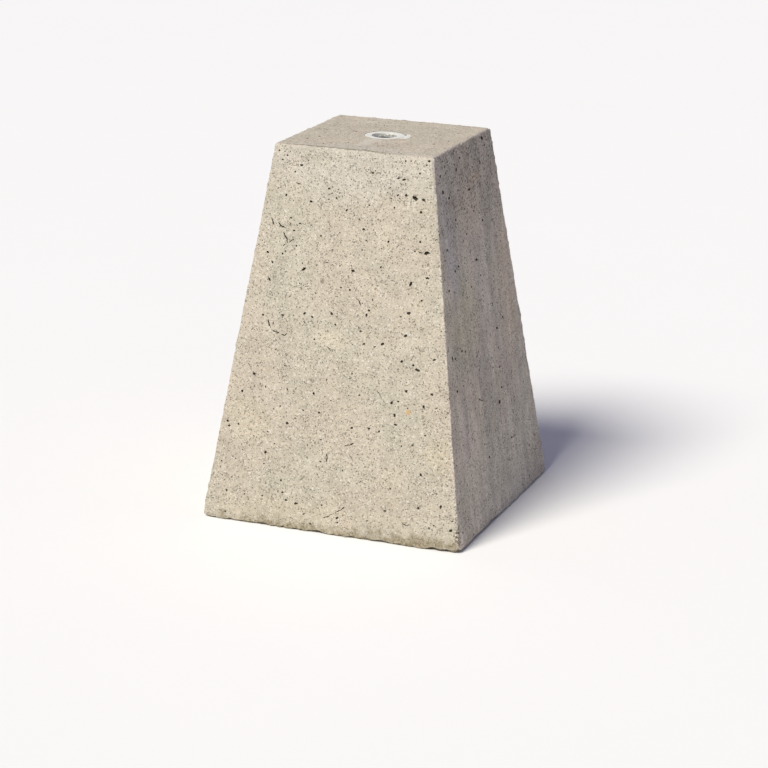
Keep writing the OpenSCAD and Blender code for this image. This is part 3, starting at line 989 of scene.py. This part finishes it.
def make_sleeve():
    """The sleeve, a closed tube with its M24 x 3 thread as real turns."""
    minor, major, pitch, chamfer = 10.375, 12.0, 3.0, 2.0
    around, outer = 72, SLEEVE_R - 0.02
    low, high = SLEEVE_LOW + 0.02, SLEEVE_TOP - 0.02
    # Rows of points that climb with the thread, one at each of its corners
    steps = np.array([0.0, 0.19, 0.50, 0.63, 0.94])
    turns = int((high - low) / pitch) + 3
    climb = (np.arange(turns)[:, None] + steps).ravel() * pitch
    a = np.arange(around + 1)[:, None] / around
    z = low - pitch * 1.5 + climb[None] + a * pitch
    # The radius where the wall is cut off at the ends
    turn = ((z.clip(low, high) - low + pitch * 1.5) / pitch - a) % 1.0
    r = minor + (major - minor) * np.interp(turn, [*steps, 1.0], [0, 0, 1, 1, 0, 0])
    z = z.clip(low, high)
    r = np.maximum(r, minor + chamfer - (high - z))
    th = a * 2 * np.pi
    bore = np.stack([r * np.cos(th), r * np.sin(th), z], -1)
    bm = bmesh.new()
    at = [[bm.verts.new(v / 1000) for v in column] for column in bore]
    walls = [(outer - 0.5, low), (outer, low + 0.5), (outer, high - 0.4), (outer - 0.4, high)]
    shell = [[bm.verts.new((w * math.cos(t) / 1000, w * math.sin(t) / 1000, h / 1000)) for w, h in walls]
             for t in th[:, 0]]
    for i in range(around):
        left, right = at[i] + shell[i][::-1], at[i + 1] + shell[i + 1][::-1]
        for j in range(len(left)):
            k = (j + 1) % len(left)
            bm.faces.new((left[j], left[k], right[k], right[j]))
    bmesh.ops.remove_doubles(bm, verts=bm.verts, dist=2e-6)
    bmesh.ops.dissolve_degenerate(bm, edges=bm.edges, dist=2e-6)
    bmesh.ops.triangulate(bm, faces=bm.faces)
    bmesh.ops.recalc_face_normals(bm, faces=bm.faces)
    me = bpy.data.meshes.new("threaded_sleeve_detail")
    bm.to_mesh(me)
    bm.free()
    me.polygons.foreach_set("use_smooth", np.ones(len(me.polygons), bool))
    keep_creases(me, 28)
    add_piece("threaded_sleeve_detail", me, zinc_material(), "threaded_sleeve")


# ---------------------------------------- light and floor
def add_light():
    world = bpy.data.worlds.new("studio")
    bpy.context.scene.world = world
    world.use_nodes = True
    t = world.node_tree
    t.nodes.clear()
    out = t.nodes.new("ShaderNodeOutputWorld")
    seen, fill = t.nodes.new("ShaderNodeBackground"), t.nodes.new("ShaderNodeBackground")
    seen.inputs[0].default_value, seen.inputs[1].default_value = (1, 1, 1, 1), 1.0
    fill.inputs[0].default_value, fill.inputs[1].default_value = (0.68, 0.68, 1.0, 1), 0.27
    mix, path = t.nodes.new("ShaderNodeMixShader"), t.nodes.new("ShaderNodeLightPath")
    t.links.new(path.outputs["Is Camera Ray"], mix.inputs[0])
    t.links.new(fill.outputs[0], mix.inputs[1])
    t.links.new(seen.outputs[0], mix.inputs[2])
    t.links.new(mix.outputs[0], out.inputs[0])
    sun = bpy.data.lights.new("key", "SUN")
    sun.energy, sun.angle, sun.color = 3.6, math.radians(24), (1.0, 0.965, 0.91)
    ob = bpy.data.objects.new("key", sun)
    ob.rotation_euler = Vector((-0.22, -0.54, 0.675)).to_track_quat("Z", "Y").to_euler()
    bpy.context.collection.objects.link(ob)


def add_floor():
    me = bpy.data.meshes.new("floor")
    n, radius = 96, 9
    turns = [a * 2 * math.pi / n for a in range(n)]
    ring = [(radius * math.cos(a), radius * math.sin(a), -0.0002) for a in turns]
    me.from_pydata(ring, [], [tuple(range(n))])
    m = Nodes("floor")
    m.bsdf.inputs["Roughness"].default_value = 0.95
    col = m.mix(m.noise(3, 2, 0.5), (0.910, 0.918, 0.880), (0.925, 0.933, 0.895))
    m.link(col, m.bsdf.inputs["Base Color"])
    me.materials.append(m.mat)
    ob = bpy.data.objects.new("floor", me)
    bpy.context.collection.objects.link(ob)


add_camera()
make_block()
make_collar()
make_sleeve()
add_light()
add_floor()
bpy.context.scene.view_settings.view_transform = "Standard"
bpy.context.scene.view_settings.look = "None"
